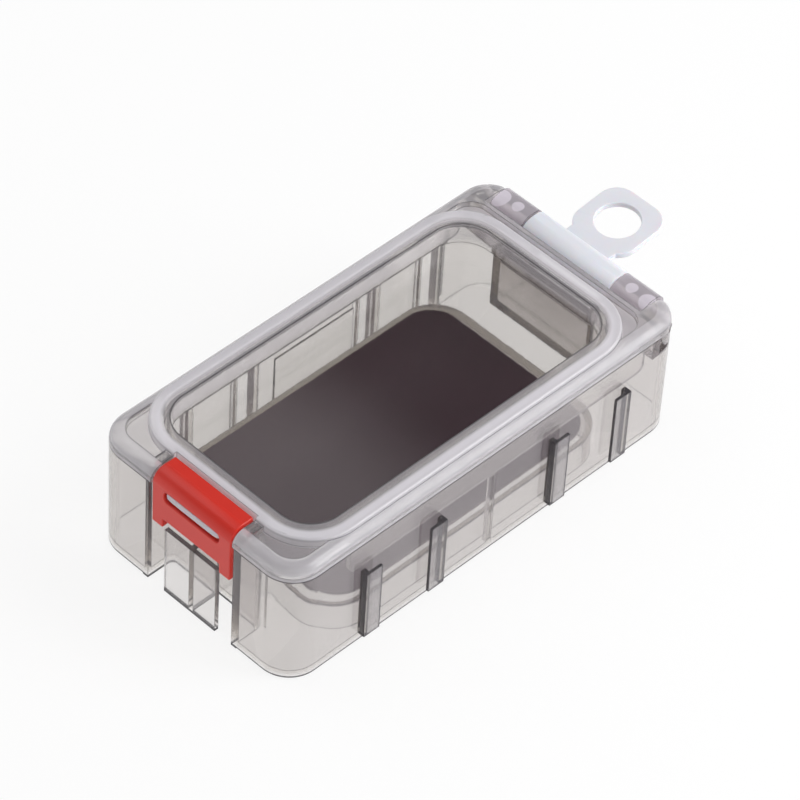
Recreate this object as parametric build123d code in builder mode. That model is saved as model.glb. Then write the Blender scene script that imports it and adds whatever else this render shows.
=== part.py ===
"""Clear hook storage box with a raised-ring lid, a red latch and a hanging tab.

Millimetres, +Z up. The origin is the middle of the tray's footprint, at the height
of the surface it stands on. The latch is at the front (-Y), the hinge at the rear (+Y).
"""
import os

from build123d import *

# Tray
body_length = 100.0
body_width = 50.7
body_height = 24.9
corner_radius = 6.5
wall = 1.3
floor_thickness = 1.3
base_edge_radius = 0.4

# Raised seat in the middle of the floor, hollow from below
seat_height = 7.7
seat_skin = 1.2
seat_side_gap = 0.4
seat_end_gap = 4.5
seat_radius = 7.9

# Recesses at the two ends of the tray
front_recess_width = 21.7
front_recess_depth = 6.7
front_recess_corner = 1.1
rear_recess_width = 22.6
rear_recess_depth = 10.2
rear_recess_floor = 10.4
rear_shelf_drop = 4.6
rear_shelf_depth = 3.0
rear_shelf_thickness = 1.2

# Joining rails: a flat T at the front, hooks on the right wall, slots in the left wall
rail_width = 13.2
rail_thickness = 0.9
rail_top_gap = 2.1
rail_web = 1.1
rail_slip = 0.1
hook_overlap = 0.45
hook_width = 3.85
hook_stem = 1.0
hook_flange = 0.6
hook_bottom = 2.3
hook_drop = 6.4
hook_slot_skin = 0.85
rail_pitch = 47.4
rail_offset = 0.8

# Panel inside the left wall
panel_length = 20.6
panel_bottom = 5.0
panel_height = 11.0
panel_rise = 0.3
panel_offset = 3.6

# Rib inside the right wall, between the pairs of hooks
rib_width = 1.1
rib_rise = 1.0
rib_lid_gap = 0.3

# Lid
lid_gap = 0.1
lid_height = 3.0
lid_skin = 1.2
shoulder_radius = 2.6
window_width = 39.4
window_radius = 7.0
window_drop = 1.0
pane_thickness = 1.2
pane_clearance = 0.2
ring_width = 3.9
ring_rise = 0.6
ring_edge_radius = 0.5
pocket_margin = 2.9
pocket_depth = 1.2
pocket_radius = 4.0
rail_land = 1.0
lid_roof = 0.7
skirt_thickness = 1.0
skirt_clearance = 0.2
skirt_depth = 6.5
skirt_depth_left = 4.9
skirt_front_margin = 15.0
skirt_rear_margin = 10.0
skirt_corner = 1.5

# Hinge
hinge_inset = 3.25
knuckle_radius = 3.2
knuckle_corner = 2.0
hinge_side_gap = 0.3
hinge_sweep_gap = 0.35
ear_width = 5.5
hinge_pin_radius = 0.75
pin_seat = 0.01
pin_run = 0.05
hinge_pin_reach = 3.0
hinge_pin_inset = 0.6

# Latch
latch_width = 20.0
latch_side_gap = 0.4
latch_thickness = 1.3
latch_drop = 9.0
latch_top_rise = 0.3
latch_nose_radius = 2.7
latch_depth = 5.4
latch_cap = 1.3
latch_barrel_radius = 1.65
latch_axis_inset = 2.9
latch_axis_rise = 1.7
latch_pin_radius = 0.6
latch_leg = 2.8
latch_notch_height = 2.1
slot_height = 2.4
slot_drop = 0.8
slot_inset = 3.0
slot_radius = 0.9
cheek = 1.4
notch_depth = 6.2
catch_gap = 0.15
catch_width = 12.4
catch_height = 2.9
catch_drop = 1.0
catch_edge = 0.3

# Mat
mat_thickness = 0.8
mat_side_margin = 1.6
mat_end_margin = 2.5
mat_radius = 6.3

# Hanging tab
bar_end_gap = 0.3
tab_thickness = 1.3
tab_width = 14.4
tab_radius = 4.2
tab_hole_radius = 4.45
tab_hole_reach = 11.7
tab_lift = 6.0
neck_width = 11.0

# Worked-out positions
half_length = body_length / 2
half_width = body_width / 2
inner_half = half_width - wall
lid_base = body_height + lid_gap
deck_top = lid_base + lid_height
ring_top = deck_top + ring_rise
pane_top = lid_base - window_drop
pane_bottom = pane_top - pane_thickness
latch_bottom = lid_base - latch_drop
slot_middle = lid_base - slot_drop
catch_top = body_height - catch_drop
hook_top = body_height - hook_drop
rear_shelf = body_height - rear_shelf_drop
rail_height = latch_bottom + latch_notch_height - rail_top_gap

front_wall_outer = -half_length + front_recess_depth
front_wall_inner = front_wall_outer + wall
rear_wall_outer = half_length - rear_recess_depth
rear_wall_inner = rear_wall_outer - wall
room_length = rear_wall_inner - front_wall_inner
room_middle = (rear_wall_inner + front_wall_inner) / 2

pan_length = room_length - 2 * pane_clearance
pan_width = window_width + 2 * lid_skin
window_length = pan_length - 2 * lid_skin
ring_length = window_length + 2 * ring_width

hinge_y = half_length - hinge_inset
hinge_z = deck_top - knuckle_radius
lid_rear = hinge_y - knuckle_radius - hinge_sweep_gap
ear_inner = half_width - ear_width
knuckle_outer = ear_inner - hinge_side_gap
knuckle_inner = rear_recess_width / 2
web_outer = knuckle_outer
web_inner = web_outer - wall
ear_clearance = knuckle_radius + hinge_side_gap
ear_notch_bottom = hinge_z - ear_clearance
ear_notch_front = hinge_y - ear_clearance
hinge_floor = ear_notch_bottom - wall
hinge_front = ear_notch_front - wall

latch_y = -half_length + latch_axis_inset
latch_z = lid_base + latch_axis_rise
latch_top = deck_top + latch_top_rise
notch_half = latch_width / 2 + latch_side_gap
notch_back = -half_length + notch_depth
cheek_half = notch_half + cheek

hook_inner = rail_width / 2 - hook_overlap
hook_outer = hook_inner + hook_width
hook_gap = rail_thickness + rail_slip
hook_reach = hook_gap + hook_flange
slot_reach = hook_reach + rail_slip
slot_inner = hook_inner - rail_slip
slot_outer = hook_outer + 3 * rail_slip
slot_top = hook_top + 3 * rail_slip
rail_centres = (rail_offset - rail_pitch / 2, rail_offset + rail_pitch / 2)
slot_skin_face = -half_width + slot_reach + hook_slot_skin

seat_half_width = -slot_skin_face - seat_side_gap
seat_length = room_length - 2 * seat_end_gap

skirt_face = inner_half - skirt_clearance
skirt_front = -half_length + skirt_front_margin
skirt_rear = half_length - skirt_rear_margin
rib_top = lid_base - skirt_depth - rib_lid_gap


# Outer form shared by the lid and its hinge ears
with BuildPart() as lid_form:
    with BuildSketch(Plane.XY.offset(hinge_z - knuckle_radius)):
        RectangleRounded(body_width, body_length, corner_radius)
    extrude(amount=deck_top - hinge_z + knuckle_radius)
    fillet(lid_form.faces().sort_by(Axis.Z)[-1].edges(), shoulder_radius)


# Base tray
with BuildPart() as base_tray:
    with BuildSketch():
        RectangleRounded(body_width, body_length, corner_radius)
    extrude(amount=body_height)
    fillet(base_tray.faces().sort_by(Axis.Z)[0].edges(), base_edge_radius)

    # Open the compartment: its full plan low down, then up past the hinge blocks
    with BuildSketch(Plane.XY.offset(floor_thickness)):
        RectangleRounded(body_width - 2 * wall, body_length - 2 * wall, corner_radius - wall)
    extrude(amount=hinge_floor - floor_thickness, mode=Mode.SUBTRACT)
    with BuildSketch(Plane.XY.offset(floor_thickness)):
        RectangleRounded(body_width - 2 * wall, body_length - 2 * wall, corner_radius - wall)
        with Locations((0, hinge_front + body_length / 2)):
            Rectangle(body_width, body_length, mode=Mode.SUBTRACT)
    extrude(amount=body_height, mode=Mode.SUBTRACT)

    # Lighten the hinge blocks from inside the compartment
    block_width = web_inner - knuckle_inner - wall
    block_length = half_length - wall - ear_notch_front
    block_x = knuckle_inner + wall + block_width / 2
    block_y = ear_notch_front + block_length / 2
    with BuildSketch(Plane.XY.offset(hinge_floor)):
        with Locations((block_x, block_y), (-block_x, block_y)):
            Rectangle(block_width, block_length)
    extrude(amount=2 * wall, mode=Mode.SUBTRACT)

    # Raised seat for the mat
    with BuildSketch():
        with Locations((0, room_middle)):
            RectangleRounded(2 * seat_half_width, seat_length, seat_radius)
    extrude(amount=seat_height)
    with BuildSketch():
        with Locations((0, room_middle)):
            RectangleRounded(2 * (seat_half_width - seat_skin), seat_length - 2 * seat_skin,
                             seat_radius - seat_skin)
    extrude(amount=seat_height - seat_skin, mode=Mode.SUBTRACT)

    # Front recess, open to the ground
    with BuildSketch():
        with Locations((0, front_wall_inner - front_recess_depth)):
            RectangleRounded(front_recess_width + 2 * wall, 2 * front_recess_depth,
                             front_recess_corner + wall)
        with Locations((0, -half_length - body_length / 2)):
            Rectangle(body_width, body_length, mode=Mode.SUBTRACT)
    extrude(amount=body_height)
    with BuildSketch():
        with Locations((0, front_wall_outer - body_length / 2)):
            RectangleRounded(front_recess_width, body_length, front_recess_corner)
    extrude(amount=body_height, mode=Mode.SUBTRACT)

    # Rear recess, a pocket open at the back and the top
    with BuildSketch(Plane.XY.offset(rear_recess_floor - wall)):
        with Locations((0, (rear_wall_inner + half_length - wall) / 2)):
            Rectangle(rear_recess_width + 2 * wall, half_length - wall - rear_wall_inner)
    extrude(amount=body_height - rear_recess_floor + wall)
    with BuildSketch(Plane.XY.offset(rear_recess_floor)):
        with Locations((0, rear_wall_outer + body_length / 2)):
            Rectangle(rear_recess_width, body_length)
    extrude(amount=body_height, mode=Mode.SUBTRACT)

    # Corner notches for the lid's hinge ears
    with BuildSketch(Plane.XY.offset(ear_notch_bottom)):
        with Locations((web_outer + ear_width, ear_notch_front + ear_width),
                       (-web_outer - ear_width, ear_notch_front + ear_width)):
            Rectangle(2 * ear_width, 2 * ear_width)
    extrude(amount=body_height, mode=Mode.SUBTRACT)

    # Shelf across the rear recess, in front of the hanging tab's bar
    with BuildSketch(Plane.XY.offset(rear_shelf)):
        with Locations((0, rear_wall_outer + rear_shelf_depth / 2)):
            Rectangle(rear_recess_width, rear_shelf_depth)
    extrude(amount=rear_shelf_thickness)

    # Hinge knuckles on the blocks between ear and hanging tab
    for side in (-1, 1):
        with BuildSketch(Plane.YZ.offset(side * knuckle_inner)):
            with Locations((hinge_y, hinge_z)):
                Circle(knuckle_radius)
            with Locations((hinge_y + knuckle_radius / 2, hinge_z + knuckle_radius / 2)):
                Rectangle(knuckle_radius, knuckle_radius)
            rear_top = vertices().group_by(Axis.Y)[-1].sort_by(Axis.X)[-1]
            fillet(rear_top, knuckle_corner)
        extrude(amount=side * (knuckle_outer - knuckle_inner))
    with BuildSketch(Plane.YZ):
        with Locations((hinge_y, hinge_z)):
            Circle(hinge_pin_radius + pin_seat)
    extrude(amount=body_width, both=True, mode=Mode.SUBTRACT)

    # Front T rail, its web and the catch bar above it
    with BuildSketch():
        with Locations((0, -half_length + rail_thickness / 2)):
            Rectangle(rail_width, rail_thickness)
        with Locations((0, -half_length + front_recess_depth / 2)):
            Rectangle(rail_web, front_recess_depth)
    extrude(amount=rail_height)
    catch_front = -half_length + latch_thickness + catch_gap
    catch_depth = front_wall_outer - catch_front
    with BuildSketch(Plane.XY.offset(rail_height)):
        with Locations((0, front_wall_outer - catch_depth / 2)):
            Rectangle(rail_web, catch_depth)
    extrude(amount=catch_top - rail_height)
    with BuildSketch(Plane.XY.offset(catch_top)):
        with Locations((0, front_wall_outer - catch_depth / 2)):
            Rectangle(catch_width, catch_depth)
    extrude(amount=-catch_height)
    catch_edges = base_tray.edges().filter_by(Axis.X).filter_by_position(
        Axis.Y, catch_front - 0.01, catch_front + 0.01)
    fillet(catch_edges, catch_edge)

    # Joining hooks on the right wall, in facing pairs
    for centre in rail_centres:
        for side in (-1, 1):
            with BuildSketch(Plane.XY.offset(hook_bottom)):
                stem_y = centre + side * (hook_outer - hook_stem / 2)
                with Locations((half_width + hook_reach / 2, stem_y)):
                    Rectangle(hook_reach, hook_stem)
                flange_y = centre + side * (hook_outer + hook_inner) / 2
                with Locations((half_width + hook_reach - hook_flange / 2, flange_y)):
                    Rectangle(hook_flange, hook_width)
            extrude(amount=hook_top - hook_bottom)

    # Matching slots in the left wall, each with a skin inside
    for centre in rail_centres:
        for side in (-1, 1):
            with BuildSketch():
                skin_inner = slot_inner - hook_slot_skin
                skin_outer = slot_outer + hook_slot_skin
                skin_depth = slot_skin_face + half_width
                with Locations((slot_skin_face - skin_depth / 2,
                                centre + side * (skin_inner + skin_outer) / 2)):
                    Rectangle(skin_depth, skin_outer - skin_inner)
            extrude(amount=slot_top + hook_slot_skin)
            with BuildSketch():
                with Locations((-half_width + slot_reach / 2,
                                centre + side * (rail_width / 2 + slot_outer) / 2)):
                    Rectangle(slot_reach, slot_outer - rail_width / 2)
                undercut_depth = slot_reach - rail_thickness
                with Locations((-half_width + slot_reach - undercut_depth / 2,
                                centre + side * (slot_inner + slot_outer) / 2)):
                    Rectangle(undercut_depth, slot_outer - slot_inner)
            extrude(amount=slot_top, mode=Mode.SUBTRACT)

    # Raised panel inside the left wall
    with BuildSketch(Plane.XY.offset(panel_bottom)):
        with Locations((-inner_half + panel_rise / 2, panel_offset)):
            Rectangle(panel_rise, panel_length)
    extrude(amount=panel_height)

    # Upright rib inside the right wall
    with BuildSketch(Plane.XY.offset(floor_thickness)):
        with Locations((inner_half - rib_rise / 2, rail_offset)):
            Rectangle(rib_rise, rib_width)
    extrude(amount=rib_top - floor_thickness)


# Lid ears, cut to the lid's rounded outer form
with BuildPart() as lid_ears:
    with BuildSketch(Plane.YZ):
        with Locations((hinge_y, hinge_z)):
            Circle(knuckle_radius)
    extrude(amount=half_width, both=True)
    Box(2 * ear_inner, 2 * body_length, 4 * body_height, mode=Mode.SUBTRACT)
    add(lid_form.part, mode=Mode.INTERSECT)


# Lid
with BuildPart() as lid:
    add(lid_form.part)
    with BuildSketch(Plane.XY.offset(lid_base)):
        Rectangle(2 * body_width, 2 * body_length)
    extrude(amount=-body_height, mode=Mode.SUBTRACT)

    # Raised ring round the window
    with BuildSketch(Plane.XY.offset(lid_base)):
        with Locations((0, room_middle)):
            RectangleRounded(window_width + 2 * ring_width, ring_length, window_radius + ring_width)
    extrude(amount=ring_top - lid_base)
    ring_rim = lid.faces().sort_by(Axis.Z)[-1].edges()
    fillet(ring_rim, ring_edge_radius)

    # Pockets in the deck outside the ring's corners and behind the ring
    with BuildSketch(Plane.XY.offset(deck_top - pocket_depth)):
        pocket_front = -half_length + pocket_margin
        pocket_rear = lid_rear - rail_land
        with Locations((0, (pocket_front + pocket_rear) / 2)):
            RectangleRounded(body_width - 2 * pocket_margin, pocket_rear - pocket_front, pocket_radius)
        with Locations((0, room_middle)):
            RectangleRounded(window_width + 2 * ring_width, ring_length,
                             window_radius + ring_width, mode=Mode.SUBTRACT)
        with Locations((0, -half_length)):
            Rectangle(2 * cheek_half + cheek, 2 * notch_depth + cheek, mode=Mode.SUBTRACT)
    extrude(amount=body_height, mode=Mode.SUBTRACT)

    # Straight rear edge in front of the tray's knuckles, full width for the ears
    with BuildSketch(Plane.XY.offset(lid_base)):
        with Locations((0, lid_rear + body_length / 2)):
            Rectangle(2 * ear_inner, body_length)
        with Locations((0, hinge_y + body_length / 2)):
            Rectangle(2 * body_width, body_length)
    extrude(amount=body_height, mode=Mode.SUBTRACT)
    add(lid_ears.part)

    # Hollow underside: a shallow recess and a deeper channel below the ring
    with BuildSketch(Plane.XY.offset(lid_base)):
        hollow_front = -half_length + lid_skin
        hollow_rear = lid_rear - lid_skin
        with Locations((0, (hollow_front + hollow_rear) / 2)):
            RectangleRounded(body_width - 2 * lid_skin, hollow_rear - hollow_front,
                             corner_radius - lid_skin)
        with Locations((0, -half_length)):
            Rectangle(2 * cheek_half, 2 * (notch_depth + lid_skin), mode=Mode.SUBTRACT)
    extrude(amount=lid_roof, mode=Mode.SUBTRACT)
    with BuildSketch(Plane.XY.offset(lid_base)):
        channel_wall = 2 * (ring_width - lid_skin)
        with Locations((0, room_middle)):
            RectangleRounded(window_width + channel_wall, window_length + channel_wall,
                             window_radius + channel_wall / 2)
        with Locations((0, -half_length)):
            Rectangle(2 * cheek_half, 2 * (notch_depth + lid_skin), mode=Mode.SUBTRACT)
    extrude(amount=ring_top - lid_skin - lid_base, mode=Mode.SUBTRACT)

    # Window pan: a wall round the pane, set down into the tray
    with BuildSketch(Plane.XY.offset(pane_bottom)):
        with Locations((0, room_middle)):
            RectangleRounded(pan_width, pan_length, window_radius + lid_skin)
    extrude(amount=deck_top - pane_bottom)
    with BuildSketch(Plane.XY.offset(pane_top)):
        with Locations((0, room_middle)):
            RectangleRounded(window_width, window_length, window_radius)
    extrude(amount=body_height, mode=Mode.SUBTRACT)

    # Side skirts that locate the lid inside the tray walls
    for side, depth in ((1, skirt_depth), (-1, skirt_depth_left)):
        with BuildSketch(Plane.YZ.offset(side * (skirt_face - skirt_thickness))):
            skirt_rise = depth + lid_roof
            with Locations(((skirt_front + skirt_rear) / 2, lid_base + lid_roof - skirt_rise / 2)):
                Rectangle(skirt_rear - skirt_front, skirt_rise)
            lower = vertices().group_by(Axis.Y)[0]
            fillet(lower, skirt_corner)
        extrude(amount=side * skirt_thickness)

    # Notch for the latch, with a pin hole across its cheeks
    with BuildSketch(Plane.XY.offset(lid_base)):
        with Locations((0, notch_back - body_length / 2)):
            Rectangle(2 * notch_half, body_length)
    extrude(amount=body_height, mode=Mode.SUBTRACT)
    with BuildSketch(Plane.YZ):
        with Locations((latch_y, latch_z)):
            Circle(latch_pin_radius + pin_seat)
    extrude(amount=cheek_half, both=True, mode=Mode.SUBTRACT)

    # Running bores in the ears
    with BuildSketch(Plane.YZ):
        with Locations((hinge_y, hinge_z)):
            Circle(hinge_pin_radius + pin_run)
    extrude(amount=body_width, both=True, mode=Mode.SUBTRACT)


# Latch
with BuildPart() as latch:
    with BuildSketch(Plane.YZ.offset(-latch_width / 2)):
        face_y = -half_length
        plate_height = latch_top - latch_nose_radius - latch_bottom
        with Locations((face_y + latch_thickness / 2, latch_bottom + plate_height / 2)):
            Rectangle(latch_thickness, plate_height)
        with Locations((latch_y, latch_z)):
            Circle(latch_barrel_radius)
        cap_middle = latch_top - latch_nose_radius / 2
        with Locations((face_y + latch_nose_radius, latch_top - latch_nose_radius)):
            Circle(latch_nose_radius)
        with Locations((face_y + (latch_nose_radius + latch_depth) / 2, latch_top - latch_cap / 2)):
            Rectangle(latch_depth - latch_nose_radius, latch_cap)
        with Locations((face_y + latch_thickness + latch_depth / 2,
                        latch_top - latch_nose_radius - body_height / 2)):
            Rectangle(latch_depth, body_height, mode=Mode.SUBTRACT)
        with Locations((latch_y, latch_z)):
            Circle(latch_barrel_radius)
    extrude(amount=latch_width)

    # Window slot with rounded ends, and the notch between the legs
    with BuildSketch(Plane.XZ.offset(half_length)):
        with Locations((0, slot_middle)):
            RectangleRounded(latch_width - 2 * slot_inset, slot_height, slot_radius)
        with Locations((0, latch_bottom)):
            Rectangle(latch_width - 2 * latch_leg, 2 * latch_notch_height)
    extrude(amount=-latch_thickness, mode=Mode.SUBTRACT)

    with BuildSketch(Plane.YZ):
        with Locations((latch_y, latch_z)):
            Circle(latch_pin_radius + pin_run)
    extrude(amount=latch_width, both=True, mode=Mode.SUBTRACT)


# Pins
with BuildPart() as latch_pin:
    with BuildSketch(Plane.YZ):
        with Locations((latch_y, latch_z)):
            Circle(latch_pin_radius)
    extrude(amount=cheek_half, both=True)

hinge_pin_outer = half_width - 2 * hinge_pin_inset
hinge_pin_inner = knuckle_inner - bar_end_gap - hinge_pin_reach
with BuildPart() as hinge_pin_right:
    with BuildSketch(Plane.YZ.offset(hinge_pin_inner)):
        with Locations((hinge_y, hinge_z)):
            Circle(hinge_pin_radius)
    extrude(amount=hinge_pin_outer - hinge_pin_inner)

with BuildPart() as hinge_pin_left:
    add(hinge_pin_right.part.mirror(Plane.YZ))


# Magnetic mat
with BuildPart() as magnet_mat:
    with BuildSketch(Plane.XY.offset(seat_height)):
        with Locations((0, room_middle)):
            RectangleRounded(2 * (seat_half_width - mat_side_margin),
                             seat_length - 2 * mat_end_margin, mat_radius)
    extrude(amount=mat_thickness)


# Hanging tab: a bar on the hinge pins and a flat loop, tilted up a little
with BuildPart() as hang_tab:
    bar_half = knuckle_inner - bar_end_gap
    with BuildSketch(Plane.YZ):
        with Locations((hinge_y, hinge_z)):
            Circle(knuckle_radius)
        with Locations((hinge_y + knuckle_radius / 2, hinge_z + knuckle_radius / 2)):
            Rectangle(knuckle_radius, knuckle_radius)
        rear_top = vertices().group_by(Axis.Y)[-1].sort_by(Axis.X)[-1]
        fillet(rear_top, knuckle_corner)
    extrude(amount=bar_half, both=True)

    loop_plane = Plane((0, hinge_y, hinge_z)).rotated((tab_lift, 0, 0))
    with BuildSketch(loop_plane):
        with Locations((0, tab_hole_reach)):
            RectangleRounded(tab_width, tab_width, tab_radius)
        with Locations((0, tab_hole_reach / 2)):
            Rectangle(neck_width, tab_hole_reach)
        with Locations((0, tab_hole_reach)):
            Circle(tab_hole_radius, mode=Mode.SUBTRACT)
    extrude(amount=tab_thickness)
    for side in (-1, 1):
        with BuildSketch(Plane.YZ.offset(side * bar_half)):
            with Locations((hinge_y, hinge_z)):
                Circle(hinge_pin_radius + pin_run)
        extrude(amount=-side * (hinge_pin_reach + bar_end_gap), mode=Mode.SUBTRACT)


os.makedirs("parts", exist_ok=True)

base_tray.part.label = "base_tray"
export_step(base_tray.part, "parts/base_tray.step")
lid.part.label = "lid"
export_step(lid.part, "parts/lid.step")
latch.part.label = "latch"
export_step(latch.part, "parts/latch.step")
latch_pin.part.label = "latch_pin"
export_step(latch_pin.part, "parts/latch_pin.step")
hinge_pin_right.part.label = "hinge_pin_right"
export_step(hinge_pin_right.part, "parts/hinge_pin_right.step")
hinge_pin_left.part.label = "hinge_pin_left"
export_step(hinge_pin_left.part, "parts/hinge_pin_left.step")
magnet_mat.part.label = "magnet_mat"
export_step(magnet_mat.part, "parts/magnet_mat.step")
hang_tab.part.label = "hang_tab"
export_step(hang_tab.part, "parts/hang_tab.step")
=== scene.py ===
# %% [markdown]
# # A clear hook storage box
# The box is a small moulded case for tackle: a smoky clear tray and lid, a red latch, a milky tab to
# hang it by and a dark magnetic mat inside. Its solids are packed already, with their joints. They
# could be modelled again here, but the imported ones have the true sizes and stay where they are, so
# this script gives them their finishes, adds one small piece, and sets up floor, light and camera.

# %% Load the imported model
import math

import bmesh
import bpy
import numpy as np
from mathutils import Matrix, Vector


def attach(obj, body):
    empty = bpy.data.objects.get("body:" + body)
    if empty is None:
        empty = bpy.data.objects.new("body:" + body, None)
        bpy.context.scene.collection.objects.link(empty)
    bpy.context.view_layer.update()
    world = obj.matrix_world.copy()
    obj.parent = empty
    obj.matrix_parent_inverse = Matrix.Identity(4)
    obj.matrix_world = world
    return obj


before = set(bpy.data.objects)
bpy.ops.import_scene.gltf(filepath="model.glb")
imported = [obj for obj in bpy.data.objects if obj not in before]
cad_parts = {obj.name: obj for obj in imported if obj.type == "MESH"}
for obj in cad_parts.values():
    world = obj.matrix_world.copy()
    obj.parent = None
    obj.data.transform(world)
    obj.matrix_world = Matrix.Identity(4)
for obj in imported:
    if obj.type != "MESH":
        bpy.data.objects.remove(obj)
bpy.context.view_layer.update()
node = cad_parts
scene = bpy.context.scene
MM = 0.001
print("loaded", sorted(node))

# %% [markdown]
# ## Colours, nodes and pattern sizes
# Colours are written as a screen shows them, in hex, and turned to the linear values that a renderer
# adds up. One small helper adds a shader node, sets its sockets and makes its links, so a material
# reads as a short list. A noise texture repeats about once per unit divided by its scale, so a
# pattern's scale comes from the real size of its lumps in millimetres.

# %% Colour and node helpers
def linear(hex_colour, alpha=1.0):
    """sRGB hex to linear RGBA: c / 12.92 below 0.04045, else ((c + 0.055) / 1.055) ** 2.4."""
    c = np.array([int(hex_colour[i:i + 2], 16) for i in (1, 3, 5)]) / 255
    rgb = np.where(c <= 0.04045, c / 12.92, ((c + 0.055) / 1.055) ** 2.4)
    return (*rgb.tolist(), alpha)


def lumps(size_mm):
    """The noise scale for lumps of that many millimetres: one over the size in metres."""
    return 1 / (size_mm * MM)


def add(tree, kind, links=(), settings=(), **values):
    """One node of that kind: values go to its sockets by name, settings to its properties, and
    each link is (own input, other node, other output)."""
    made = tree.nodes.new(kind)
    for name, value in dict(settings).items():
        setattr(made, name, value)
    for name, value in values.items():
        made.inputs[name.replace("_", " ")].default_value = value
    for own, other, out in links:
        tree.links.new(other.outputs[out], made.inputs[own])
    return made


def new_material(name):
    """An empty material, its tree and its output node."""
    material = bpy.data.materials.new(name)
    material.use_nodes = True
    material.node_tree.nodes.clear()
    return material, material.node_tree, material.node_tree.nodes.new("ShaderNodeOutputMaterial")


white = linear("#FFFFFF")
print("mid grey is", round(linear("#808080")[0], 3), "of full light")

# %% [markdown]
# ## Where the mouldings change their polish
# A mould is polished in some places and spark-eroded in others, so one clear part has clear and
# frosted zones. On this box the window is polished, the raised ring round it is frosted, and the
# tray has small round painted highlights at its rear corners. Images could paint this, but every zone here
# is a rounded rectangle in plan between two heights, and those are exact in nodes: the outlines
# and heights below are the box's own, in millimetres, and follow each piece into every pose.

# %% Outlines in plan, and heights
def grown(outline, by):
    """The same rounded rectangle with every side, and so its radius, moved out by that much."""
    centre, half, radius = outline
    return centre, (half[0] + by, half[1] + by), radius + by


def dot(x, y, radius):
    """A round mark, as a rounded rectangle that is all radius."""
    return (x, y), (radius, radius), radius


room_middle = (0, -1.75)
window = (room_middle, (19.7, 38.85), 7.0)
ring = (room_middle, (23.6, 42.75), 10.9)
deck = ((0, 0), (22.6, 47.2), 4.2)
rear_deck = ((0, 38.0), (22.6, 9.2), 4.2)
front_deck = ((0, -41.0), (22.6, 6.2), 4.2)
knuckles = ((0, 46.5), (22.0, 5.0), 0.5)
catch_bar = ((0, -47.0), (6.6, 2.6), 0.5)
everything = ((0, 0), (30.0, 60.0), 1.0)
nothing = dot(0, 0, 0.05)
under_all, over_all = -1, 40
over_pane, tray_rim, lid_side_top = 24.4, 24.8, 26.3
deck_top, ring_top = 27.9, 28.5
print("ring is", round(ring[1][0] - window[1][0], 2), "mm wide")

# %% Masks from outlines and heights
FADE = 0.1  # mm: a zone comes in from this far below a height to this far above it
NO_HEIGHT = 10  # metres: taken off Z, so that an outline holds at every height


def inside(tree, place, outline, soft):
    """1 inside a rounded rectangle and 0 outside, soft at the border: the length of
    max(|p - centre| - (half - radius), 0) is compared with the radius."""
    centre, half, radius = outline
    moved = add(tree, "ShaderNodeVectorMath", [(0, place, "Object")], {"operation": "SUBTRACT"})
    moved.inputs[1].default_value = (centre[0] * MM, centre[1] * MM, 0)
    size = add(tree, "ShaderNodeVectorMath", [(0, moved, 0)], {"operation": "ABSOLUTE"})
    past = add(tree, "ShaderNodeVectorMath", [(0, size, 0)], {"operation": "SUBTRACT"})
    past.inputs[1].default_value = ((half[0] - radius) * MM, (half[1] - radius) * MM, NO_HEIGHT)
    kept = add(tree, "ShaderNodeVectorMath", [(0, past, 0)], {"operation": "MAXIMUM"})
    reach = add(tree, "ShaderNodeVectorMath", [(0, kept, 0)], {"operation": "LENGTH"})
    return add(tree, "ShaderNodeMapRange", [("Value", reach, "Value")],
               {"interpolation_type": "SMOOTHSTEP"},
               From_Min=(radius + soft) * MM, From_Max=(radius - soft) * MM, To_Min=0.0, To_Max=1.0)


def between(tree, axes, low, high):
    """1 between two heights and 0 above and below them."""
    above = add(tree, "ShaderNodeMapRange", [("Value", axes, "Z")],
                From_Min=(low - FADE) * MM, From_Max=(low + FADE) * MM, To_Min=0.0, To_Max=1.0)
    below = add(tree, "ShaderNodeMapRange", [("Value", axes, "Z")],
                From_Min=(high - FADE) * MM, From_Max=(high + FADE) * MM, To_Min=1.0, To_Max=0.0)
    return add(tree, "ShaderNodeMath", [(0, above, 0), (1, below, 0)], {"operation": "MULTIPLY"})


def zone(tree, place, axes, amount, outline, soft, heights, share):
    """The amount that comes in, replaced by the zone's own share inside the zone."""
    plan = inside(tree, place, outline, soft)
    band = between(tree, axes, *heights)
    mask = add(tree, "ShaderNodeMath", [(0, band, 0), (1, plan, 0)], {"operation": "MULTIPLY"})
    mixed = add(tree, "ShaderNodeMix", [("Factor", mask, 0), ("A", amount, 0)], {"data_type": "FLOAT"})
    mixed.inputs["B"].default_value = share
    return mixed


def painted_dark_line(tree, place, axes, outer, inner, soft, heights, share):
    """The share of a painted dark line of shade: inside the outer outline, less the inner one, between
    heights.
    """
    wide, tight = [inside(tree, place, outline, soft) for outline in (outer, inner)]
    left = add(tree, "ShaderNodeMath", [(0, wide, 0), (1, tight, 0)],
               {"operation": "SUBTRACT", "use_clamp": True})
    band = between(tree, axes, *heights)
    both = add(tree, "ShaderNodeMath", [(0, left, 0), (1, band, 0)], {"operation": "MULTIPLY"})
    weighed = add(tree, "ShaderNodeMath", [(0, both, 0)], {"operation": "MULTIPLY"})
    weighed.inputs[1].default_value = share
    return weighed


print("zones fade over", 2 * FADE, "mm of height")

# %% [markdown]
# ## Smoky clear plastic: what light does in it
# Tray and lid look like injection-moulded polycarbonate with a little grey dye. Its index is about
# 1.58, and 1.45 here keeps the shine of many faces behind one another down. The dye sits in the
# body of the plastic, so it is an absorption in the volume: a thin wall looks pale, and a look
# along a wall or a rib looks dark. Frosted zones scatter, which lays a pale lilac veil over what is
# behind. A volume that scatters would be slow and noisy, so the veil is a matt shader with a
# quarter of a see-through-paper one, mixed over the clear one by the zones' shares.

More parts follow.
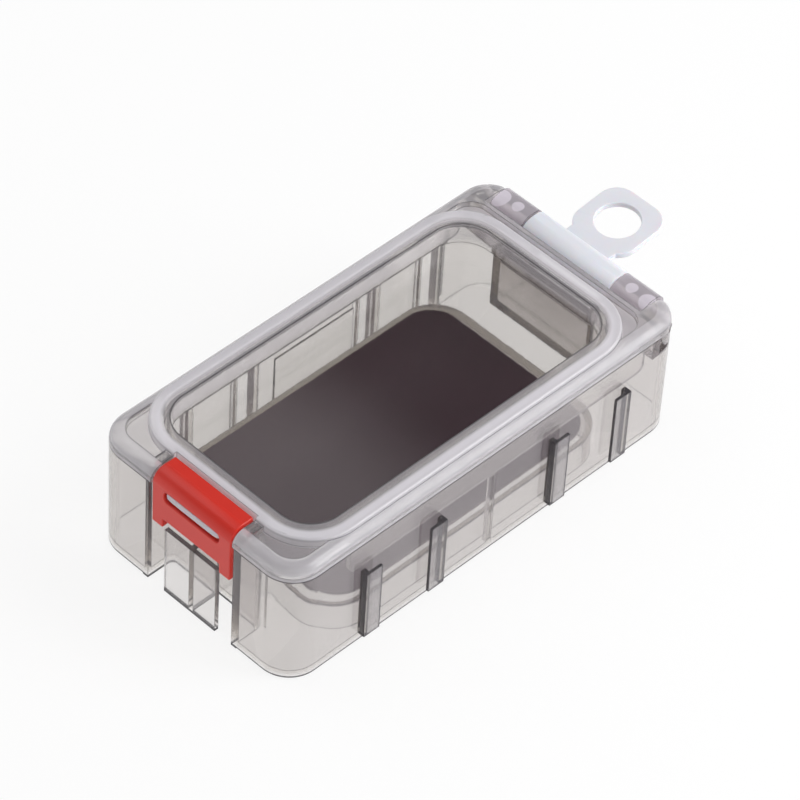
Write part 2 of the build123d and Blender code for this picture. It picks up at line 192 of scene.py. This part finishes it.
# %% The veil and the clear body
FLOW, GRAIN, CLOUD = 11, 0.55, 6  # mm: waves where the melt flowed, the mould's grain, uneven haze
FLOW_RELIEF, GRAIN_RELIEF = 0.6 * MM, 0.1 * MM
INDEX = 1.45
PAPER_SHARE = 0.25


def cloudy_body(tree, place, axes, haze, veil_colour, zones):
    """Clear plastic under a veil whose share is the haze, a little uneven, or each zone's own."""
    flow = add(tree, "ShaderNodeTexNoise", [("Vector", place, "Object")], Scale=lumps(FLOW), Detail=1.0)
    grain = add(tree, "ShaderNodeTexNoise", [("Vector", place, "Object")], Scale=lumps(GRAIN), Detail=2.0)
    slow_bump = add(tree, "ShaderNodeBump", [("Height", flow, "Fac")], Strength=0.03, Distance=FLOW_RELIEF)
    bump = add(tree, "ShaderNodeBump", [("Height", grain, "Fac"), ("Normal", slow_bump, "Normal")],
               Strength=0.04, Distance=GRAIN_RELIEF)
    clear = add(tree, "ShaderNodeBsdfPrincipled", [("Normal", bump, "Normal")],
                Base_Color=white, Roughness=0.05, IOR=INDEX, Transmission_Weight=1.0)
    matt = add(tree, "ShaderNodeBsdfPrincipled", [("Normal", bump, "Normal")],
               Base_Color=linear(veil_colour), Roughness=0.22, IOR=INDEX)
    paper = add(tree, "ShaderNodeBsdfTranslucent", Color=linear(veil_colour))
    veil = add(tree, "ShaderNodeMixShader", [(1, matt, 0), (2, paper, 0)], Fac=PAPER_SHARE)
    cloud = add(tree, "ShaderNodeTexNoise", [("Vector", place, "Object")], Scale=lumps(CLOUD), Detail=3.0)
    amount = add(tree, "ShaderNodeMapRange", [("Value", cloud, "Fac")],
                 From_Min=0.3, From_Max=0.7, To_Min=haze * 0.95, To_Max=haze * 1.05)
    for outline, soft, heights, share in zones:
        amount = zone(tree, place, axes, amount, outline, soft, heights, share)
    return add(tree, "ShaderNodeMixShader", [(0, amount, 0), (1, clear, 0), (2, veil, 0)])


print("noise scales:", [round(lumps(size)) for size in (FLOW, GRAIN, CLOUD)])

# %% [markdown]
# ## Smoky clear plastic: its painted dark lines
# What makes clear plastic readable is its edges: a small rounding there bends the view sideways into
# the long, dyed depth of the wall, and a dark line shows. The solids have sharp edges in many
# places, and rounding each would take many faces. A Bevel node gives the normal that a rounding of
# about 0.2 mm would have, and where it turns from the flat one, a dark rim of painted shade takes over.
# The foot that stands on the table, and the sides and caps of the joining hooks, get painted shade too.

# %% Where shade is painted on the plastic
EDGE = 0.22 * MM  # radius of the rounding that the Bevel node pretends
# painted shade runs along the foot of the walls
PAINTED_FOOT_SHADE = 0.50 * MM, 0.75 * MM  # the dark of the foot ends between these heights
HOOKS = 25.4 * MM, 25.6 * MM  # the hooks begin between these distances from the middle


def painted_shade_share(tree, place, axes, lines):
    """The largest share of painted shade from: edges, the foot line, the joining hooks, and the drawn
    lines. An edge's painted dark grows while the rounded normal turns from 6 to 20 degrees away from the
    flat one, the foot's is kept to upright faces, and a hook gets more painted shade on its sides than on
    the cap that faces along X."""
    rounded = add(tree, "ShaderNodeBevel", settings={"samples": 4}, Radius=EDGE)
    flat = add(tree, "ShaderNodeNewGeometry")
    match = add(tree, "ShaderNodeVectorMath", [(0, rounded, 0), (1, flat, "Normal")],
                {"operation": "DOT_PRODUCT"})
    edge = add(tree, "ShaderNodeMapRange", [("Value", match, "Value")],
               From_Min=0.995, From_Max=0.94, To_Min=0.0, To_Max=0.92)
    facing = add(tree, "ShaderNodeSeparateXYZ", [(0, flat, "Normal")])
    level = add(tree, "ShaderNodeMath", [(0, facing, "Z")], {"operation": "ABSOLUTE"})
    upright = add(tree, "ShaderNodeMapRange", [("Value", level, 0)],
                  From_Min=0.90, From_Max=0.97, To_Min=1.0, To_Max=0.0)
    foot = add(tree, "ShaderNodeMapRange", [("Value", axes, "Z")],
               From_Min=PAINTED_FOOT_SHADE[0], From_Max=PAINTED_FOOT_SHADE[1], To_Min=0.9, To_Max=0.0)
    painted_foot_shade = add(tree, "ShaderNodeMath", [(0, foot, 0), (1, upright, 0)], {"operation": "MULTIPLY"})
    on_hook = add(tree, "ShaderNodeMapRange", [("Value", axes, "X")],
                  From_Min=HOOKS[0], From_Max=HOOKS[1], To_Min=0.0, To_Max=1.0)
    across = add(tree, "ShaderNodeMath", [(0, facing, "X")], {"operation": "ABSOLUTE"})
    turned = add(tree, "ShaderNodeMapRange", [("Value", across, 0)],
                 From_Min=0.3, From_Max=0.9, To_Min=0.66, To_Max=0.16)
    hooks = add(tree, "ShaderNodeMath", [(0, on_hook, 0), (1, turned, 0)], {"operation": "MULTIPLY"})
    drawn = [painted_dark_line(tree, place, axes, *line) for line in lines]
    dark = edge
    for other in (painted_foot_shade, hooks, *drawn):
        dark = add(tree, "ShaderNodeMath", [(0, dark, 0), (1, other, 0)], {"operation": "MAXIMUM"})
    return dark


print("edge lines come from a rounding of", round(EDGE / MM, 2), "mm")

# %% Smoky clear plastic
DYE = linear("#816C3F")
PASSES = 0.94  # the share of lamp light that each face lets through into the shadow


def smoke_plastic(name, haze, veil_colour, density, zones, lines):
    """The whole material. A bent shadow ray never finds the lamp, so light for shadows goes
    straight through with a light tint, and the dye is the volume's absorption."""
    material, tree, output = new_material(name)
    path = add(tree, "ShaderNodeLightPath")
    place = add(tree, "ShaderNodeTexCoord")
    axes = add(tree, "ShaderNodeSeparateXYZ", [(0, place, "Object")])
    body = cloudy_body(tree, place, axes, haze, veil_colour, zones)
    dark = painted_shade_share(tree, place, axes, lines)
    # painted shade: a dark matt rim, mixed in by the share of painted shade
    rim = add(tree, "ShaderNodeBsdfPrincipled", Base_Color=linear("#2A282E"), Roughness=0.5, IOR=1.3)
    lined = add(tree, "ShaderNodeMixShader", [(0, dark, 0), (1, body, 0), (2, rim, 0)])
    through = add(tree, "ShaderNodeBsdfTransparent", Color=(PASSES, PASSES, PASSES, 1))
    mix = add(tree, "ShaderNodeMixShader", [(0, path, "Is Shadow Ray"), (1, lined, 0), (2, through, 0)])
    smoke = add(tree, "ShaderNodeVolumeAbsorption", Color=DYE, Density=density)
    tree.links.new(mix.outputs[0], output.inputs["Surface"])
    tree.links.new(smoke.outputs[0], output.inputs["Volume"])
    return material


print("the dye's colour is", np.round(DYE[:3], 3).tolist())

# %% [markdown]
# ## The tray's plastic
# The tray is polished nearly all over. Frosted are the hinge knuckles along its rear edge and the
# bar that the latch catches on, and round painted highlights sit on the knuckles. Two upright streaks
# of painted shade darken the inside of its left rear corner, where the box looks dark through the
# window. What casts that shade isn't seen, so it is drawn in the plastic instead of being given a form.

# %% Polycarbonate of the tray
# A zone is an outline, how soft its border is, its heights and its share of veil; a line has two
# outlines, of which the inner one is left out, and a share of painted dark.
# painted highlights: pale frosted discs on the knuckles stand in for the shine on their rounded tops
painted_highlight_marks = [dot(-18.6, 46.2, 1.9), dot(18.9, 46.2, 1.7), dot(-14.6, 46.6, 1.2), dot(14.6, 46.6, 1.2)]
tray_zones = [(knuckles, 0.2, (20.5, over_all), 0.48),
              *[(mark, 0.15, (24, over_all), 0.88) for mark in painted_highlight_marks],
              (catch_bar, 0.2, (20.5, over_all), 0.6)]
# painted shade: two dark upright streaks inside the left rear corner
painted_streak_heights = (3.5, 22.0)
tray_painted_shade = [(((-22.5, 36.9), (3.0, 0.75), 0.3), nothing, 0.2, painted_streak_heights, 0.5),
              (((-22.5, 35.2), (3.0, 0.5), 0.3), nothing, 0.2, painted_streak_heights, 0.25)]
# Seen: a pale grey wall where one wall is over white, and a glassy shine along every rim.
tray_smoke = smoke_plastic("smoky_polycarbonate", haze=0.095, veil_colour="#ECE5F0", density=172.0,
                           zones=tray_zones, lines=tray_painted_shade)
print(tray_smoke.name, "has", len(tray_smoke.node_tree.nodes), "nodes")

# %% [markdown]
# ## The lid's plastic
# The lid is frosted where the tray is clear: the rounded shoulder and most of all the raised ring.
# The sunken window is polished, so that the mat can be read through it, and the ring's inner half
# clears towards it. A later zone in the list wins over an earlier one, so the window comes last.

# %% Polycarbonate of the lid
lid_zones = [(deck, 0.3, (under_all, over_all), 0.15),
             (rear_deck, 0.3, (under_all, over_all), 0.30),
             (grown(ring, 0.1), 0.3, (under_all, over_all), 0.68),
             (grown(window, 1.7), 0.5, (over_pane, over_all), 0.22),
             (everything, 0.1, (tray_rim, lid_side_top), 0.26),
             (everything, 0.1, (under_all, tray_rim), 0.12),
             (grown(window, 0.15), 0.12, (under_all, over_pane), 0.008)]
# painted shade: a dark line along the window's edge, a fainter one round the ring's outer wall, and soft
# dark in the front deck's corner pockets
lid_painted_shade = [(grown(window, 0.28), window, 0.06, (deck_top, over_all), 0.55),
             (grown(ring, 0.12), grown(ring, -0.1), 0.06, (deck_top, ring_top), 0.22),
             (front_deck, grown(ring, 0.1), 0.5, (27.0, 28.4), 0.26)]
# Seen: a milky ring with a thin painted dark line at the window, round a clear pane.
lid_smoke = smoke_plastic("frosted_polycarbonate", haze=0.46, veil_colour="#F3F1F8", density=125.0,
                          zones=lid_zones, lines=lid_painted_shade)
print(lid_smoke.name, "has", len(lid_smoke.node_tree.nodes), "nodes")

# %% [markdown]
# ## Opaque mouldings
# Latch, tab and catch lip are moulded too, but no light passes them cleanly. They share one recipe:
# a fine grain from the mould's wall, and a tone that drifts a little where the melt flowed. Their
# real grain is about 0.05 mm and would vanish in the picture, so it is drawn near 0.5 mm.

# %% Grained and clouded plastic
def moulded(name, tones, cloud_size, grain_size, grain_strength, **shine):
    """Principled plastic whose colour drifts between two tones, with the grain as bump."""
    material, tree, output = new_material(name)
    place = add(tree, "ShaderNodeTexCoord")
    grain = add(tree, "ShaderNodeTexNoise", [("Vector", place, "Object")],
                Scale=lumps(grain_size), Detail=2.0)
    bump = add(tree, "ShaderNodeBump", [("Height", grain, "Fac")],
               Strength=grain_strength, Distance=GRAIN_RELIEF)
    cloud = add(tree, "ShaderNodeTexNoise", [("Vector", place, "Object")],
                Scale=lumps(cloud_size), Detail=3.0)
    tone = add(tree, "ShaderNodeMix", [("Factor", cloud, "Fac")], {"data_type": "RGBA"})
    tone.inputs["A"].default_value, tone.inputs["B"].default_value = [linear(c) for c in tones]
    shader = add(tree, "ShaderNodeBsdfPrincipled",
                 [("Normal", bump, "Normal"), ("Base Color", tone, "Result")], **shine)
    tree.links.new(shader.outputs[0], output.inputs["Surface"])
    return material


# %% The three opaque plastics
# Red ABS, satin: a broad soft light along the latch's rolled edge.
red_abs = moulded("red_abs", ("#CC2416", "#D42E20"), 4.5, 0.4, 0.12, Roughness=0.38, IOR=1.5)
# Milky polypropylene: bluish white that light enters a little, with no sharp shine.
milky_tab = moulded("milky_polypropylene", ("#DADCE4", "#E3E5EB"), 6.7, 0.45, 0.1,
                    Roughness=0.42, IOR=1.49, Subsurface_Weight=0.2, Subsurface_Scale=2 * MM)
# Frosted polycarbonate too thick to see through: pale lilac behind the latch's slot.
frosted_lip = moulded("frosted_catch_lip", ("#D6CFD8", "#DCD5DE"), 3.0, 0.55, 0.05,
                      Roughness=0.2, IOR=1.5, Transmission_Weight=0.25, Subsurface_Weight=0.3,
                      Subsurface_Scale=1 * MM)
print("opaque plastics:", red_abs.name, milky_tab.name, frosted_lip.name)

# %% [markdown]
# ## The magnetic mat
# The mat is a calendered rubber sheet filled with magnetic powder, nearly black and faintly shiny.
# Its own colour is a dark plum, and a painted reflection of a soft light lightens it to a warm grey at the
# front, fading out towards the hinge. Two materials would show a border, so one tone runs along the mat.
# The mat is plain: nothing is printed on it.

# %% Magnetic rubber sheet
def magnet_rubber_painted_sheen(painted_sheen_colour, rear_colour, start, end):
    """Rubber whose colour turns from the front one, lightened by a painted reflection, to the rear one
    between two places along Y.
    """
    material, tree, output = new_material("magnetic_rubber_with_painted_sheen")
    place = add(tree, "ShaderNodeTexCoord")
    along = add(tree, "ShaderNodeSeparateXYZ", [(0, place, "Object")])
    share = add(tree, "ShaderNodeMapRange", [("Value", along, "Y")],
                {"interpolation_type": "SMOOTHSTEP"},
                From_Min=start * MM, From_Max=end * MM, To_Min=0.0, To_Max=1.0)
    # painted reflection: the front colour is lighter than the rubber's own plum
    tone = add(tree, "ShaderNodeMix", [("Factor", share, 0)], {"data_type": "RGBA"})
    tone.inputs["A"].default_value = linear(painted_sheen_colour)
    tone.inputs["B"].default_value = linear(rear_colour)
    # the powder's grain is about 0.1 mm, drawn coarser so that it shows
    grain = add(tree, "ShaderNodeTexNoise", [("Vector", place, "Object")], Scale=lumps(0.67), Detail=2.0)
    bump = add(tree, "ShaderNodeBump", [("Height", grain, "Fac")], Strength=0.03, Distance=GRAIN_RELIEF)
    shader = add(tree, "ShaderNodeBsdfPrincipled",
                 [("Normal", bump, "Normal"), ("Base Color", tone, "Result")], Roughness=0.36, IOR=1.5)
    tree.links.new(shader.outputs[0], output.inputs["Surface"])
    return material


# Seen: a soft dark field that the clear walls stand out against.
mat_rubber_and_sheen = magnet_rubber_painted_sheen("#6E656B", "#38202C", start=-16, end=12)

# %% [markdown]
# ## Finishes onto the solids
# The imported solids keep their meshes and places. Only their material slots change, so each piece
# gets its finish by name, and the joints carry it along.

# %% Give each solid its finish
finish_of = {"base_tray": tray_smoke, "hinge_pin_left": tray_smoke, "hinge_pin_right": tray_smoke,
             "lid": lid_smoke, "latch": red_abs, "latch_pin": red_abs,
             "magnet_mat": mat_rubber_and_sheen, "hang_tab": milky_tab}
for name, material in finish_of.items():
    node[name].data.materials.clear()
    node[name].data.materials.append(material)
print("finished", len(finish_of), "solids")

# %% [markdown]
# ## The lip of the catch
# The latch snaps over a rounded lip on the tray's catch bar, which shows pale in the latch's slot.
# The solid bar is square there and stands in for it, because a rigid latch can't flex over a lip.
# A bevelled cube would do, but a superellipsoid gives the same soft bar in one formula.

# %% A rounded bar as a surface of two angles
def rounded_bar(centre, half, power, around=48, along=24):
    """A superellipsoid: with c = cos and s = sin of the two angles, each raised to 2 / power with
    its sign kept, x = a s(v), y = b c(v) c(u), z = h c(v) s(u). A high power gives a bar with
    small rounded edges. Vertices run ring by ring, and a pole closes each end."""
    def spread(values):
        return np.sign(values) * np.abs(values) ** (2 / power)
    u = np.linspace(0, 2 * np.pi, around, endpoint=False)
    v = np.linspace(-np.pi / 2, np.pi / 2, along + 2)[1:-1]
    ring_u, ring_v = np.meshgrid(u, v)
    x = half[0] * spread(np.sin(ring_v))
    y = half[1] * spread(np.cos(ring_v)) * spread(np.cos(ring_u))
    z = half[2] * spread(np.cos(ring_v)) * spread(np.sin(ring_u))
    points = np.stack([x, y, z], axis=-1).reshape(-1, 3)
    points = np.vstack([points, [-half[0], 0, 0], [half[0], 0, 0]]) + centre
    index = np.arange(along * around).reshape(along, around)
    ahead = np.roll(index, -1, axis=1)
    quads = np.stack([index[:-1], ahead[:-1], ahead[1:], index[1:]], axis=-1).reshape(-1, 4)
    low_cap = np.stack([ahead[0], index[0], np.full(around, along * around)], axis=-1)
    high_cap = np.stack([index[-1], ahead[-1], np.full(around, along * around + 1)], axis=-1)
    return points, quads.tolist() + low_cap.tolist() + high_cap.tolist()


lip_points, lip_faces = rounded_bar(centre=np.array([0, -48.9, 24.45]), half=(6.75, 0.95, 0.8), power=7)
print("lip of", len(lip_points), "points and", len(lip_faces), "faces")

# %% Make a piece from a surface
def new_piece(name, points, faces, material, body):
    """A smooth mesh object at the origin, with its place in its mesh, riding on a body. The
    enclosed volume is printed: it is positive when the faces point outwards."""
    mesh = bpy.data.meshes.new(name)
    mesh.from_pydata((np.asarray(points) * MM).tolist(), [], faces)
    mesh.shade_smooth()
    mesh.materials.append(material)
    piece = bpy.data.objects.new(name, mesh)
    scene.collection.objects.link(piece)
    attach(piece, body)
    measured = bmesh.new()
    measured.from_mesh(mesh)
    print(name, "volume in mm3:", round(measured.calc_volume(signed=True) / MM ** 3, 2))
    measured.free()


new_piece("catch_lip", lip_points, lip_faces, frosted_lip, body="base")

# %% [markdown]
# ## Softened edges
# No moulding has a knife edge, and a small rounding catches a thin light that shows the form. The
# opaque solids get it from modifiers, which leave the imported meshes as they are: Weld joins their
# loose triangles, and Bevel rounds what is sharper than 35 degrees. Tray and lid have too many tiny
# faces for a bevel to run clean, so their edges come from the material's own lines.

# %% Round the edges of the opaque solids
edge_round = {"latch": 0.28, "hang_tab": 0.2, "magnet_mat": 0.15}
same_point = 0.002 * MM
for name, radius in edge_round.items():
    weld = node[name].modifiers.new("merge", "WELD")
    weld.merge_threshold = same_point
    rounding = node[name].modifiers.new("round", "BEVEL")
    rounding.width = radius * MM
    rounding.segments = 3
    rounding.limit_method = "ANGLE"
    rounding.angle_limit = math.radians(35)
    rounding.use_clamp_overlap = False
    rounding.harden_normals = True
print("rounded edges in mm:", edge_round)

# %% [markdown]
# ## The floor
# The box stands on a white sweep. To the camera and in a shine, most of it is a plain white glow,
# so that it stays white whatever the lamps do. The rest is matt, and holds the shadow near the box.
# Further off the matt share fades out, or the far floor would draw a grey line. Through the clear
# plastic less of it glows, because the floor there lies in the box's own shade.

# %% White sweep
def white_sweep(glow_near, glow_through, reach_near, reach_far):
    """Matt white with a glow whose share grows over a reach in metres from the box, and is another
    one for rays that come through plastic."""
    material, tree, output = new_material("white_sweep")
    path = add(tree, "ShaderNodeLightPath")
    place = add(tree, "ShaderNodeTexCoord")
    seen = add(tree, "ShaderNodeMath", [(0, path, "Is Camera Ray"), (1, path, "Is Glossy Ray")],
               {"operation": "MAXIMUM"})
    away = add(tree, "ShaderNodeVectorMath", [(0, place, "Object")], {"operation": "LENGTH"})
    share = add(tree, "ShaderNodeMapRange", [("Value", away, "Value")],
                {"interpolation_type": "SMOOTHSTEP"},
                From_Min=reach_near, From_Max=reach_far, To_Min=glow_near, To_Max=1.0)
    plain = add(tree, "ShaderNodeMath", [(0, seen, 0), (1, share, 0)], {"operation": "MULTIPLY"})
    bent = add(tree, "ShaderNodeMath", [(0, path, "Is Transmission Ray")], {"operation": "MULTIPLY"})
    bent.inputs[1].default_value = glow_through
    glowing = add(tree, "ShaderNodeMath", [(0, plain, 0), (1, bent, 0)], {"operation": "MAXIMUM"})
    matt = add(tree, "ShaderNodeBsdfDiffuse", Color=linear("#F8F8F8"))
    glow = add(tree, "ShaderNodeEmission", Color=white, Strength=1.0)
    mix = add(tree, "ShaderNodeMixShader", [(0, glowing, 0), (1, matt, 0), (2, glow, 0)])
    tree.links.new(mix.outputs[0], output.inputs["Surface"])
    return material


floor_half = 3.0
corners = np.array([(-1, -1, 0), (1, -1, 0), (1, 1, 0), (-1, 1, 0)]) * floor_half
floor_mesh = bpy.data.meshes.new("floor")
floor_mesh.from_pydata(corners.tolist(), [], [(0, 1, 2, 3)])
floor_mesh.materials.append(white_sweep(glow_near=0.82, glow_through=0.3, reach_near=0.12, reach_far=0.6))
floor = bpy.data.objects.new("floor", floor_mesh)
scene.collection.objects.link(floor)
print("floor is", 2 * floor_half, "m wide")

# %% [markdown]
# ## The room and the lamps
# The camera sees white behind the box. For light, the room is bright low down and greyer overhead,
# as in a white tent with a dark ceiling. Shine and clear plastic see the same tent with a darker
# ceiling still: a photographer hangs black card there, because glass in an all-white room loses its
# edges. Two soft lamps give the shine its direction.

# %% World
world = bpy.data.worlds.new("studio")
scene.world = world
world.use_nodes = True
tree = world.node_tree
tree.nodes.clear()
out = tree.nodes.new("ShaderNodeOutputWorld")
path = add(tree, "ShaderNodeLightPath")
aim = add(tree, "ShaderNodeTexCoord")
steep = add(tree, "ShaderNodeSeparateXYZ", [(0, aim, "Generated")])


def white_room(level, overhead, until):
    """White light that is level near the horizon and falls to overhead where the direction's own Z
    reaches until."""
    strength = add(tree, "ShaderNodeMapRange", [("Value", steep, "Z")],
                   From_Min=0.1, From_Max=until, To_Min=level, To_Max=overhead)
    return add(tree, "ShaderNodeBackground", [("Strength", strength, 0)], Color=white)


tent = white_room(level=0.9, overhead=0.35, until=0.8)
dark_card = white_room(level=0.95, overhead=0.08, until=0.45)
bent = add(tree, "ShaderNodeMath", [(0, path, "Is Glossy Ray"), (1, path, "Is Transmission Ray")],
           {"operation": "MAXIMUM"})
lit = add(tree, "ShaderNodeMixShader", [(0, bent, 0), (1, tent, 0), (2, dark_card, 0)])
seen = add(tree, "ShaderNodeBackground", Color=white, Strength=1.0)
mix = add(tree, "ShaderNodeMixShader", [(0, path, "Is Camera Ray"), (1, lit, 0), (2, seen, 0)])
tree.links.new(mix.outputs[0], out.inputs["Surface"])
print("world has", len(tree.nodes), "nodes")

# %% Lamps
box_middle = np.array([0, 0, 0.015])


def lamp(name, place, size, power):
    """A soft box at a place in metres, turned to the middle of the box. Bent rays pass it by, or
    its own shape would show through the clear walls."""
    data = bpy.data.lights.new(name, "AREA")
    data.shape = "RECTANGLE"
    data.size, data.size_y = size
    data.energy = power
    lamp_object = bpy.data.objects.new(name, data)
    scene.collection.objects.link(lamp_object)
    lamp_object.location = place
    lamp_object.rotation_euler = Vector(np.array(place) - box_middle).to_track_quat("Z", "Y").to_euler()
    lamp_object.visible_transmission = False
    print(name, "of", power, "W,", round(lamp_object.location.length, 2), "m from the box")


lamp("soft_box", place=(-0.35, -0.1, 0.55), size=(0.4, 0.6), power=0.9)
lamp("strip_box", place=(0.42, 0.34, 0.36), size=(0.3, 0.6), power=3.4)

# %% [markdown]
# ## The camera
# The camera looks down at the front right corner through a long lens. Its place, turn and lens come
# from a fit to the box's own corners. Clear walls need many bounces, because a ray crosses two
# faces per wall.

# %% Camera and light paths
camera_data = bpy.data.cameras.new("camera")
camera = bpy.data.objects.new("camera", camera_data)
scene.collection.objects.link(camera)
camera_data.lens = 210.437
camera_data.sensor_width = 36.0
camera_data.clip_start = 0.05
camera_data.clip_end = 20.0
camera.location = (0.402350, -0.435450, 0.622220)
camera.rotation_euler = [math.radians(angle) for angle in (44.46890, -2.62001, 45.28574)]
scene.camera = camera

scene.view_settings.view_transform = "Standard"
scene.cycles.max_bounces = 24
scene.cycles.transmission_bounces = 24
scene.cycles.transparent_max_bounces = 24
print("camera is", round(camera.location.length, 3), "m away")
